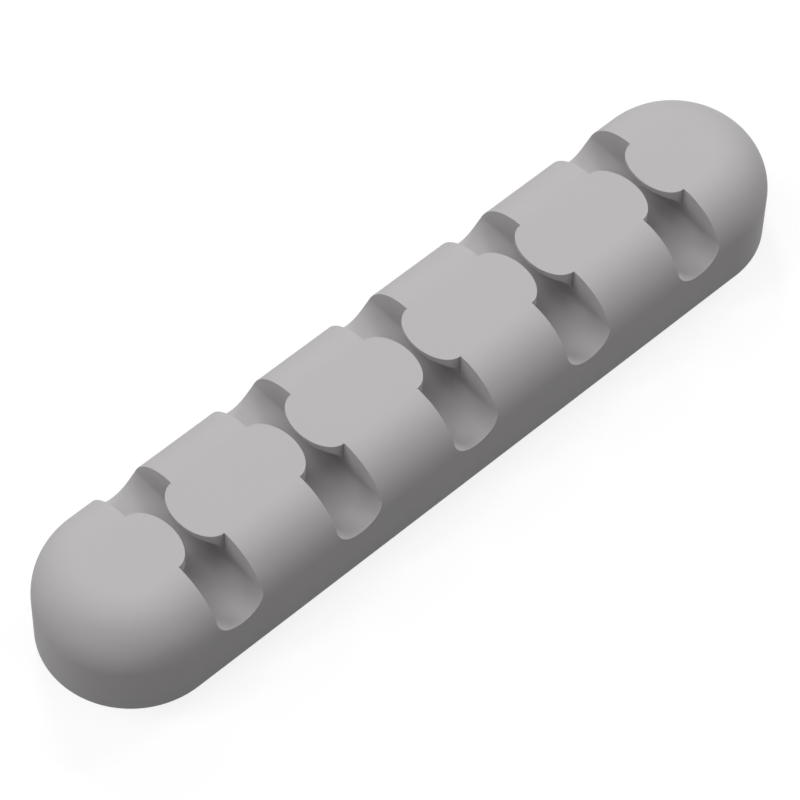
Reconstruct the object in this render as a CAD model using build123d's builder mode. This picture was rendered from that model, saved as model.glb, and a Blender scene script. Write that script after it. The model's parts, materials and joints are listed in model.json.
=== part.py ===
"""Cable clip for a desk edge: one soft moulded bar with five snap-in cable channels across it.

The bar lies along X and its channels run along Y. It rests on the plane Z = 0, with its middle at the
origin. Each channel is a round bore, opened upwards between two upright side walls. At the top of the
bore two thin lobes reach out from those walls and almost meet, so a cable is pressed in between them
and they close over it again.
"""

import os

from build123d import *

# Driving dimensions, in millimetres
bar_length = 120.0  # over both round ends
bar_width = 25.0
bar_height = 15.0
shoulder_radius = 7.5  # the rounded top edge, which makes each end a dome
channel_count = 5
channel_pitch = 20.0
channel_diameter = 7.5  # the bore, and the distance between the side walls above it
channel_axis_height = 10.6
lobe_length = 10.0  # along the channel
lobe_gap = 1.1  # what is left open between the tips of two facing lobes

# Worked out from the driving dimensions
channel_radius = channel_diameter / 2
lobe_reach = (channel_diameter - lobe_gap) / 2
mouth_depth = bar_height - channel_axis_height
overcut = 1.0  # how far each cutting shape runs past the bar, so that it leaves no skin behind


with BuildPart() as cable_clip:
    # The bar: a round-ended block, its whole top edge rounded over
    with BuildSketch():
        SlotOverall(bar_length, bar_width)
    extrude(amount=bar_height)
    top_edge = cable_clip.edges().group_by(Axis.Z)[-1]
    fillet(top_edge, radius=shoulder_radius)

    # The bores, straight across the bar
    with BuildSketch(Plane.XZ):
        with Locations((0, channel_axis_height)):
            with GridLocations(channel_pitch, 0, channel_count, 1):
                Circle(channel_radius)
    extrude(amount=bar_width / 2 + overcut, both=True, mode=Mode.SUBTRACT)

    # The mouths: as wide as the bores, less a half-oval lobe left standing on each side wall
    with BuildSketch(Plane.XY.offset(channel_axis_height)):
        with GridLocations(channel_pitch, 0, channel_count, 1):
            Rectangle(channel_diameter, bar_width + 2 * overcut)
            with Locations((-channel_radius, 0), (channel_radius, 0)):
                Ellipse(lobe_reach, lobe_length / 2, mode=Mode.SUBTRACT)
    extrude(amount=mouth_depth + overcut, mode=Mode.SUBTRACT)

cable_clip.part.label = "cable_clip"

os.makedirs("parts", exist_ok=True)
export_step(cable_clip.part, "parts/cable_clip.step")
print(f"cable_clip: volume {cable_clip.part.volume:.0f} mm3, box {cable_clip.part.bounding_box().size}")
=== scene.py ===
# %% [markdown]
# # A cable clip moulded in grey silicone
#
# The real object is one soft bar, 120 mm long, with five channels across it. Cables are pressed into
# the channels from above, and two thin lobes close over each one. There is nothing to assemble: one
# mould makes the whole shape, so this lesson makes one piece.
#
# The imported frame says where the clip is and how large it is. Every size below is read from that
# frame or is one of a few named sizes in metres, and the new piece takes the frame's place.

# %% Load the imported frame
import json
import math

import bmesh
import bpy
from mathutils import Matrix, Vector, bvhtree


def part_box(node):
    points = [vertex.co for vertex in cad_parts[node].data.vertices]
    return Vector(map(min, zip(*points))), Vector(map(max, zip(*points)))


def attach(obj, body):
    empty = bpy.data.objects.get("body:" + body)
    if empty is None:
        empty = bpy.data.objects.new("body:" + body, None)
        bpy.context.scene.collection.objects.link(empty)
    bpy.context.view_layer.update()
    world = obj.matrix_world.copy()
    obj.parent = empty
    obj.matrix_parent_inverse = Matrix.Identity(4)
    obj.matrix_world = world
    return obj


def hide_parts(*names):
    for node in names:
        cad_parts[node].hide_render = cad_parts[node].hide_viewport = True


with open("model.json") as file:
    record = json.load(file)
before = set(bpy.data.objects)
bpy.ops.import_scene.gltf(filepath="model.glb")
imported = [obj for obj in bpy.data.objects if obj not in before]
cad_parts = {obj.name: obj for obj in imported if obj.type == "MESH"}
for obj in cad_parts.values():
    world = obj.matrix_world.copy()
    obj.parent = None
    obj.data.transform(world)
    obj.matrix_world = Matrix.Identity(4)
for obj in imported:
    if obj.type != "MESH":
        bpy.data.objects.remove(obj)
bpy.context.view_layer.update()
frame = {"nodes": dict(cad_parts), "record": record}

MM = 0.001  # a millimetre in metres
scene = bpy.context.scene
print("nodes in the frame:", sorted(frame["nodes"]))

# %% [markdown]
# ## Sizes
#
# The overall box and the five channels come from the frame: the record states each channel as a
# mount, with its place and its radius. The mould's own sizes, which the record has no field for, are
# named here once: the rounding of the top edge and the two measures of a lobe.

# %% Read the sizes from the frame
low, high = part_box("cable_clip")
bar_length = high.x - low.x
bar_width = high.y - low.y
bar_height = high.z - low.z
channels = [mount for mount in frame["record"]["mounts"] if mount["kind"] == "clamp"]
channel_places = [Vector(mount["pos_m"]) for mount in channels]
channel_radius = channels[0]["dims"]["r_mm"] * MM
print(f"bar {bar_length / MM:.1f} x {bar_width / MM:.1f} x {bar_height / MM:.1f} mm,",
      f"{len(channels)} channels of radius {channel_radius / MM:.2f} mm")

# %% Name the sizes of the mould
shoulder_radius = 7.5 * MM  # the rounded top edge
lobe_length = 10.0 * MM  # along the channel
lobe_gap = 1.1 * MM  # left open between two facing lobes
lobe_reach = channel_radius - lobe_gap / 2
overcut = 1.0 * MM  # how far a cutting shape runs past the bar
print(f"each lobe reaches {lobe_reach / MM:.2f} mm out from its side wall")

# %% [markdown]
# ## The camera
#
# The picture was taken with a long lens from the upper left, so the bar's far end looks nearly as
# large as its near end. The camera is described the way a photographer would place it: the point it
# looks at, its distance, how far round and how far down it looks, and a small turn about its own axis.

# %% Place the camera
aim = Vector((-2.975, -1.105, 7.5)) * MM
camera_distance = 566.2 * MM
view_heading = math.radians(43.85)  # from +Y towards +X
look_down = math.radians(55.31)
roll = math.radians(1.48)

view_direction = Vector((math.sin(view_heading) * math.cos(look_down),
                         math.cos(view_heading) * math.cos(look_down),
                         -math.sin(look_down)))
camera_data = bpy.data.cameras.new("camera")
camera_data.lens = 198.4
camera_data.sensor_width = 36.0
camera_data.sensor_fit = "HORIZONTAL"
camera_data.clip_start = 50 * MM
camera = bpy.data.objects.new("camera", camera_data)
camera.rotation_mode = "QUATERNION"
camera.location = aim - view_direction * camera_distance
camera.rotation_quaternion = (view_direction.to_track_quat("-Z", "Y")
                              @ Matrix.Rotation(roll, 3, "Z").to_quaternion())
scene.collection.objects.link(camera)
scene.camera = camera
print("camera stands at", [round(v, 4) for v in camera.location])

# %% [markdown]
# ## The bar before it is cut
#
# The bar's ends are domes. One way would be to draw the outline and sweep a profile along it. It is
# simpler to notice that the two ends together are one round puck: a cylinder whose top edge is
# rounded over. The puck is cut down its middle, its halves are pulled apart to the length of the bar,
# and the gap is bridged with straight faces.

# %% Make the puck
PUCK_SIDES = 192
SHOULDER_STEPS = 32
SAME_PLACE = 0.001 * MM  # corners nearer than this to a plane lie in it

bar_mesh = bmesh.new()
bmesh.ops.create_cone(bar_mesh, cap_ends=True, segments=PUCK_SIDES,
                      radius1=bar_width / 2, radius2=bar_width / 2, depth=bar_height,
                      matrix=Matrix.Translation((0, 0, bar_height / 2)))
top_edges = [edge for edge in bar_mesh.edges
             if all(abs(vert.co.z - bar_height) < SAME_PLACE for vert in edge.verts)]
bmesh.ops.bevel(bar_mesh, geom=top_edges, offset=shoulder_radius, offset_type="OFFSET",
                segments=SHOULDER_STEPS, profile=0.5, affect="EDGES", material=-1)
print("the puck has", len(bar_mesh.faces), "faces")

# %% Pull the puck apart and bridge it
whole_puck = bar_mesh.verts[:] + bar_mesh.edges[:] + bar_mesh.faces[:]
cut = bmesh.ops.bisect_plane(bar_mesh, geom=whole_puck, dist=SAME_PLACE,
                             plane_co=(0, 0, 0), plane_no=(1, 0, 0))
seam = [item for item in cut["geom_cut"] if isinstance(item, bmesh.types.BMEdge)]
bmesh.ops.split_edges(bar_mesh, edges=seam)
half_straight = (bar_length - bar_width) / 2
for side in (-1, 1):
    faces = [face for face in bar_mesh.faces if face.calc_center_median().x * side > 0]
    verts = list({vert for face in faces for vert in face.verts})
    bmesh.ops.translate(bar_mesh, verts=verts, vec=(side * half_straight, 0, 0))
open_edges = [edge for edge in bar_mesh.edges if edge.is_boundary]
bmesh.ops.bridge_loops(bar_mesh, edges=open_edges)
print("open edges bridged:", len(open_edges), "- straight part", f"{2 * half_straight / MM:.1f} mm")

# %% [markdown]
# ## Cutting the channels
#
# In the real mould, steel cores stand where the channels are. Here two cutting shapes take the place
# of those cores for each channel: a round rod along the channel, and above it a slab as wide as the
# rod. The lobes are what the slab leaves standing, so two oval posts are first taken out of the slab.
# A Boolean modifier does each subtraction. It is evaluated at once, so that no modifier and no cutting
# shape is left in the scene.

# %% A helper that subtracts one mesh from another
def subtract(target, cutter):
    """Takes the mesh of cutter out of the mesh of target, both bmeshes, and returns the result."""
    pair = []
    for bm in (target, cutter):
        data = bpy.data.meshes.new("cutting")
        bmesh.ops.recalc_face_normals(bm, faces=bm.faces)
        bm.to_mesh(data)
        bm.free()
        obj = bpy.data.objects.new("cutting", data)
        scene.collection.objects.link(obj)
        pair.append(obj)
    body, tool = pair
    boolean = body.modifiers.new("boolean", "BOOLEAN")
    boolean.operation = "DIFFERENCE"
    boolean.solver = "EXACT"
    boolean.object = tool
    depsgraph = bpy.context.evaluated_depsgraph_get()
    cut_data = bpy.data.meshes.new_from_object(body.evaluated_get(depsgraph))
    result = bmesh.new()
    result.from_mesh(cut_data)
    for obj in pair:
        data = obj.data
        bpy.data.objects.remove(obj)
        bpy.data.meshes.remove(data)
    bpy.data.meshes.remove(cut_data)
    return result


# %% Make the slabs and take the lobes out of them
LOBE_SIDES = 128
cutter_length = bar_width + 2 * overcut  # slabs and rods run right across the bar

slabs = bmesh.new()
lobes = bmesh.new()
half_a_side = Matrix.Rotation(math.pi / LOBE_SIDES, 4, "Z")  # keeps a post's corners off the side walls
for place in channel_places:
    slab_height = bar_height - place.z + overcut
    slab_size = Matrix.Diagonal((2 * channel_radius, cutter_length, slab_height, 1))
    slab_middle = Matrix.Translation((place.x, 0, place.z + slab_height / 2))
    bmesh.ops.create_cube(slabs, size=1, matrix=slab_middle @ slab_size)
    for side in (-1, 1):
        post_size = Matrix.Diagonal((lobe_reach, lobe_length / 2, 1, 1))
        post_middle = Matrix.Translation((place.x + side * channel_radius, 0, bar_height))
        bmesh.ops.create_cone(lobes, cap_ends=True, segments=LOBE_SIDES, radius1=1, radius2=1,
                              depth=bar_height, matrix=post_middle @ post_size @ half_a_side)
slabs = subtract(slabs, lobes)
print("slabs with the lobes taken out:", len(slabs.faces), "faces")

# %% Make the rods
ROD_SIDES = 128

rods = bmesh.new()
along_channel = Matrix.Rotation(math.radians(90), 4, "X")
for place in channel_places:
    bmesh.ops.create_cone(rods, cap_ends=True, segments=ROD_SIDES,
                          radius1=channel_radius, radius2=channel_radius, depth=cutter_length,
                          matrix=Matrix.Translation(place) @ along_channel)
print(len(channel_places), "rods of", ROD_SIDES, "sides")

# %% [markdown]
# The picture shows the floor of each channel a little flatter than round, and its lobes a little
# thicker than a round rod would leave them. So each rod is pressed flat by about an eighth of a
# millimetre above and below. Its lower half becomes the low arch that masons draw with three compass
# points: a large arc in the middle and a smaller one on each side, which ends upright at the wall. For
# the upper half one large arc is enough. The rods already have all the corners they need, so these are
# simply moved up or down.

# %% Set out the two arches
floor_radius = 3.93 * MM
floor_bottom = 6.97 * MM
floor_side_radius = 2.0 * MM
roof_radius = 3.81 * MM
roof_top = 14.22 * MM

floor_middle = floor_bottom + floor_radius
roof_middle = roof_top - roof_radius
side_middle_out = channel_radius - floor_side_radius
side_middle_drop = math.sqrt((floor_radius - floor_side_radius) ** 2 - side_middle_out ** 2)
side_middle = floor_middle - side_middle_drop
side_starts_out = side_middle_out * floor_radius / (floor_radius - floor_side_radius)
print(f"the floor's side arcs start {side_starts_out / MM:.2f} mm out",
      f"and end upright at a height of {side_middle / MM:.2f} mm")

# %% Press the rods flat
AT_AXIS_HEIGHT = 0.01 * MM  # corners this near to the axis's height are those on the walls

for vert in rods.verts:
    axis = min(channel_places, key=lambda point: abs(point.x - vert.co.x))
    out = abs(vert.co.x - axis.x)
    if abs(vert.co.z - axis.z) < AT_AXIS_HEIGHT:
        continue  # a corner on the wall stays where it is
    if vert.co.z > axis.z:
        vert.co.z = roof_middle + math.sqrt(roof_radius ** 2 - out ** 2)
    elif out < side_starts_out:
        vert.co.z = floor_middle - math.sqrt(floor_radius ** 2 - out ** 2)
    else:
        vert.co.z = side_middle - math.sqrt(floor_side_radius ** 2 - (out - side_middle_out) ** 2)
heights = [vert.co.z for vert in rods.verts]
print(f"the rods are now {(max(heights) - min(heights)) / MM:.2f} mm high",
      f"and {2 * channel_radius / MM:.2f} mm wide")

# %% Cut slabs and rods out of the bar
MERGE_DISTANCE = 0.01 * MM  # closer corners than this are left-overs of the cutting

bar_mesh = subtract(bar_mesh, slabs)
bar_mesh = subtract(bar_mesh, rods)
bmesh.ops.remove_doubles(bar_mesh, verts=bar_mesh.verts, dist=MERGE_DISTANCE)
bmesh.ops.dissolve_degenerate(bar_mesh, edges=bar_mesh.edges, dist=MERGE_DISTANCE)
print("the cut bar has", len(bar_mesh.faces), "faces,",
      sum(not edge.is_manifold for edge in bar_mesh.edges), "edges are open,",
      f"volume {bar_mesh.calc_volume() / MM ** 3:.0f} mm3")

# %% [markdown]
# ## Sharp edges and smooth faces
#
# The shoulder, the channels and the lobes are smooth, and they meet at crisp edges. The faces are
# shaded smooth, and every edge that turns by more than 8 degrees is marked sharp. A Weighted Normal
# modifier then lets each large flat face keep its own direction where it runs into a rounding.

# %% Turn the bmesh into an object
SHARP_TURN = math.radians(8)

for face in bar_mesh.faces:
    face.smooth = True
for edge in bar_mesh.edges:
    edge.smooth = edge.calc_face_angle() < SHARP_TURN
bar_data = bpy.data.meshes.new("clip_body")
bar_mesh.to_mesh(bar_data)
bar_mesh.free()
clip_body = bpy.data.objects.new("clip_body", bar_data)
scene.collection.objects.link(clip_body)
weighted = clip_body.modifiers.new("flat faces stay flat", "WEIGHTED_NORMAL")
weighted.mode = "FACE_AREA"
weighted.keep_sharp = True
print("clip_body has", len(bar_data.polygons), "faces")

# %% Measure how closely it follows the solid of the frame
solid = bmesh.new()
solid.from_mesh(bpy.data.objects["cable_clip"].data)
solid_surface = bvhtree.BVHTree.FromBMesh(solid)
solid.free()
farthest = max(solid_surface.find_nearest(vert.co)[3] for vert in bar_data.vertices)
print(f"no corner of clip_body is more than {farthest / MM:.3f} mm from the solid's surface")

# %% [markdown]
# ## The silicone
#
# Silicone rubber has a refractive index of about 1.41, so it reflects less than most plastics. The
# mould is finely blasted, and its surface comes out on the rubber: a dense grain, far too small to see
# one by one, that spreads every highlight into a soft sheen. An image texture could carry that grain,
# but noise textures on Object coordinates need no unwrapping and stay fixed to the bar. Three of them
# are used: the grain, a broad unevenness where the rubber has shrunk a little as it cooled, and a
# cloudiness that makes the sheen and the grey very slightly uneven.

# %% Start the silicone with what is the same all over
SILICONE_GREY = (0.503, 0.487, 0.493, 1.0)
SILICONE_IOR = 1.41

silicone = bpy.data.materials.new("grey_silicone")
silicone.use_nodes = True
nodes = silicone.node_tree.nodes
links = silicone.node_tree.links
shader = nodes["Principled BSDF"]
shader.inputs["IOR"].default_value = SILICONE_IOR
place_on_bar = nodes.new("ShaderNodeTexCoord")
straight_on = ((SILICONE_IOR - 1) / (SILICONE_IOR + 1)) ** 2
print(f"silicone reflects {straight_on:.1%} of the light that falls straight on it")


# %% A helper that adds one noise, sized in metres
def add_noise(title, feature_size, detail):
    """Adds a noise texture on Object coordinates, whose features are about feature_size metres wide."""
    noise = nodes.new("ShaderNodeTexNoise")
    noise.label = title
    noise.inputs["Scale"].default_value = 1 / feature_size
    noise.inputs["Detail"].default_value = detail
    links.new(place_on_bar.outputs["Object"], noise.inputs["Vector"])
    return noise


# %% Cloud the grey and the sheen a little
CLOUD_SIZE = 9 * MM
GREY_CHANGE = 0.015  # how much darker or lighter the grey gets, as a share of it
ROUGHNESS_ENDS = (0.60, 0.72)

cloud = add_noise("cloudiness", CLOUD_SIZE, 3)
grey_range = nodes.new("ShaderNodeMix")
grey_range.data_type = "RGBA"
for socket, share in (("A", 1 - GREY_CHANGE), ("B", 1 + GREY_CHANGE)):
    grey_range.inputs[socket].default_value = [share * part for part in SILICONE_GREY[:3]] + [1.0]
links.new(cloud.outputs["Fac"], grey_range.inputs["Factor"])
links.new(grey_range.outputs["Result"], shader.inputs["Base Color"])

sheen_range = nodes.new("ShaderNodeMapRange")
sheen_range.inputs["To Min"].default_value, sheen_range.inputs["To Max"].default_value = ROUGHNESS_ENDS
links.new(cloud.outputs["Fac"], sheen_range.inputs["Value"])
links.new(sheen_range.outputs["Result"], shader.inputs["Roughness"])
print("roughness from", ROUGHNESS_ENDS[0], "to", ROUGHNESS_ENDS[1])

# %% Raise the grain and the unevenness
GRAIN_SIZE = 0.22 * MM
GRAIN_HEIGHT = 0.004 * MM
UNEVEN_SIZE = 6 * MM
UNEVEN_HEIGHT = 0.04 * MM

grain = add_noise("blasted grain", GRAIN_SIZE, 2)
grain_bump = nodes.new("ShaderNodeBump")
grain_bump.inputs["Distance"].default_value = GRAIN_HEIGHT
links.new(grain.outputs["Fac"], grain_bump.inputs["Height"])

unevenness = add_noise("unevenness", UNEVEN_SIZE, 1)
uneven_bump = nodes.new("ShaderNodeBump")
uneven_bump.inputs["Distance"].default_value = UNEVEN_HEIGHT
links.new(unevenness.outputs["Fac"], uneven_bump.inputs["Height"])
links.new(uneven_bump.outputs["Normal"], grain_bump.inputs["Normal"])
links.new(grain_bump.outputs["Normal"], shader.inputs["Normal"])
clip_body.data.materials.append(silicone)
print(f"the grain is {GRAIN_SIZE / MM:.2f} mm wide and {GRAIN_HEIGHT / MM:.3f} mm high")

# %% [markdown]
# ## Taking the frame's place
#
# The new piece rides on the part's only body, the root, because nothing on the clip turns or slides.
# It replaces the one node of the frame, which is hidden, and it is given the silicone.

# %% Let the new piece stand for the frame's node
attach(clip_body, "root")
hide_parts("cable_clip")
print(clip_body.name, "stands for cable_clip and is made of", silicone.name)

# %% [markdown]
# ## The floor
#
# The clip was photographed on plain white. A floor that is truly white would throw much of the light
# back up at the clip's sides, and they are rather dark in the picture. So the floor has two faces. Rays
# that the camera sends, straight or by way of a reflection, find it white. Light on its way to the clip
# finds it dark. The Light Path node tells these rays apart. A part of the white is real paint, so the
# clip still casts a soft shadow where it stands, and further out the paint gives way to pure white.

# %% A helper that tells which rays are seen
def add_seen(tree):
    """Adds nodes to a node tree that give 1 for the camera's own rays and those it sends on, else 0."""
    light_path = tree.nodes.new("ShaderNodeLightPath")
    seen = light_path.outputs["Is Camera Ray"]
    for other in ("Is Glossy Ray", "Is Transmission Ray"):
        either = tree.nodes.new("ShaderNodeMath")
        either.operation = "MAXIMUM"
        tree.links.new(seen, either.inputs[0])
        tree.links.new(light_path.outputs[other], either.inputs[1])
        seen = either.outputs["Value"]
    return seen


# %% Make the floor
FLOOR_REACH = 2.0
floor_mesh = bmesh.new()
bmesh.ops.create_grid(floor_mesh, x_segments=1, y_segments=1, size=FLOOR_REACH)
floor_data = bpy.data.meshes.new("floor")
floor_mesh.to_mesh(floor_data)
floor_mesh.free()
floor = bpy.data.objects.new("floor", floor_data)
scene.collection.objects.link(floor)
print(f"the floor is {2 * FLOOR_REACH} m wide")

# %% Paint the floor
FLOOR_FOR_LIGHT = 0.07  # the grey that light finds on its way to the clip
PAINT_SHARE = 0.25  # how much of the white beside the clip is paint, which takes its shadow
GLOW_SHARE = 0.80
PAINT_ENDS = (0.12, 0.45)  # how far from the clip's middle the paint starts to fade, and is gone

floor_paint = bpy.data.materials.new("floor")
floor_paint.use_nodes = True
tree = floor_paint.node_tree
board = tree.nodes["Principled BSDF"]
board.inputs["Specular IOR Level"].default_value = 0.0
board.inputs["Emission Color"].default_value = (1.0, 1.0, 1.0, 1.0)
seen = add_seen(tree)

place_on_floor = tree.nodes.new("ShaderNodeTexCoord")
distance = tree.nodes.new("ShaderNodeVectorMath")
distance.operation = "LENGTH"
tree.links.new(place_on_floor.outputs["Object"], distance.inputs[0])

for socket, low_end, high_end, hidden in (("Base Color", PAINT_SHARE, 0.0, FLOOR_FOR_LIGHT),
                                          ("Emission Strength", GLOW_SHARE, 1.0, 0.0)):
    fade = tree.nodes.new("ShaderNodeMapRange")
    fade.interpolation_type = "SMOOTHSTEP"
    fade.inputs["From Min"].default_value, fade.inputs["From Max"].default_value = PAINT_ENDS
    fade.inputs["To Min"].default_value = low_end
    fade.inputs["To Max"].default_value = high_end
    choice = tree.nodes.new("ShaderNodeMix")
    choice.data_type = "FLOAT"
    choice.inputs["A"].default_value = hidden
    tree.links.new(distance.outputs["Value"], fade.inputs["Value"])
    tree.links.new(seen, choice.inputs["Factor"])
    tree.links.new(fade.outputs["Result"], choice.inputs["B"])
    tree.links.new(choice.outputs["Result"], board.inputs[socket])
floor.data.materials.append(floor_paint)
print(f"the paint is full up to {PAINT_ENDS[0]} m from the middle and gone at {PAINT_ENDS[1]} m")

# %% [markdown]
# ## The light
#
# The picture has no hard shadow and no bright highlight, so the clip stood in soft light. Its top is
# brightest, its back is lighter than its front, and its front skirt is darkest, yet the shadows under
# the lobes have rather clear edges. So broad square softboxes hang overhead and low on two sides, and
# small ones to the back, left and right draw those edges. Each is named for where it hangs. A dim
# world fills what they leave. Their level is such that a grey renders as the grey that it is given.

# %% A helper that hangs a softbox
LAMP_DISTANCE = 1.0


def hang_softbox(name, azimuth, elevation, size, power):
    """Hangs a square area lamp at LAMP_DISTANCE, facing the bar. Angles are in degrees, from +X and up."""
    round_angle, up_angle = math.radians(azimuth), math.radians(elevation)
    outwards = Vector((math.cos(round_angle) * math.cos(up_angle),
                       math.sin(round_angle) * math.cos(up_angle), math.sin(up_angle)))
    data = bpy.data.lights.new(name, "AREA")
    data.shape = "SQUARE"
    data.size = size
    data.energy = power
    lamp = bpy.data.objects.new(name, data)
    lamp.location = outwards * LAMP_DISTANCE
    lamp.rotation_euler = outwards.to_track_quat("Z", "Y").to_euler()
    lamp.visible_camera = False
    scene.collection.objects.link(lamp)
    print(f"{name} softbox: {size} m wide, {power} W")


# %% Hang the softboxes
hang_softbox("overhead", 90, 85, 0.8, 3.4)
hang_softbox("low_left", 180, 18, 0.5, 1.6)
hang_softbox("low_front", 288, 18, 0.5, 1.9)
hang_softbox("back_right", 60, 37, 0.2, 2.5)
hang_softbox("right", 7, 41, 0.2, 2.0)
hang_softbox("back_left", 120, 60, 0.2, 0.8)
hang_softbox("high_left", 135, 52, 0.2, 1.1)
hang_softbox("left", 150, 30, 0.2, 0.9)

# %% Fill with a dim world that is white to the camera
WORLD_LEVEL = 0.04

world = bpy.data.worlds.new("studio")
world.use_nodes = True
sky = world.node_tree.nodes["Background"]
sky.inputs["Color"].default_value = (1.0, 1.0, 1.0, 1.0)
level = world.node_tree.nodes.new("ShaderNodeMix")
level.data_type = "FLOAT"
level.inputs["A"].default_value = WORLD_LEVEL
level.inputs["B"].default_value = 1.0
world.node_tree.links.new(add_seen(world.node_tree), level.inputs["Factor"])
world.node_tree.links.new(level.outputs["Result"], sky.inputs["Strength"])
scene.world = world
print("the world's level is", WORLD_LEVEL, "for the clip and 1 for the camera")

# %% [markdown]
# ## Colour and the finish
#
# The Standard view shows each colour as it is, which suits a plain product picture.

# %% Set the view
scene.view_settings.view_transform = "Standard"
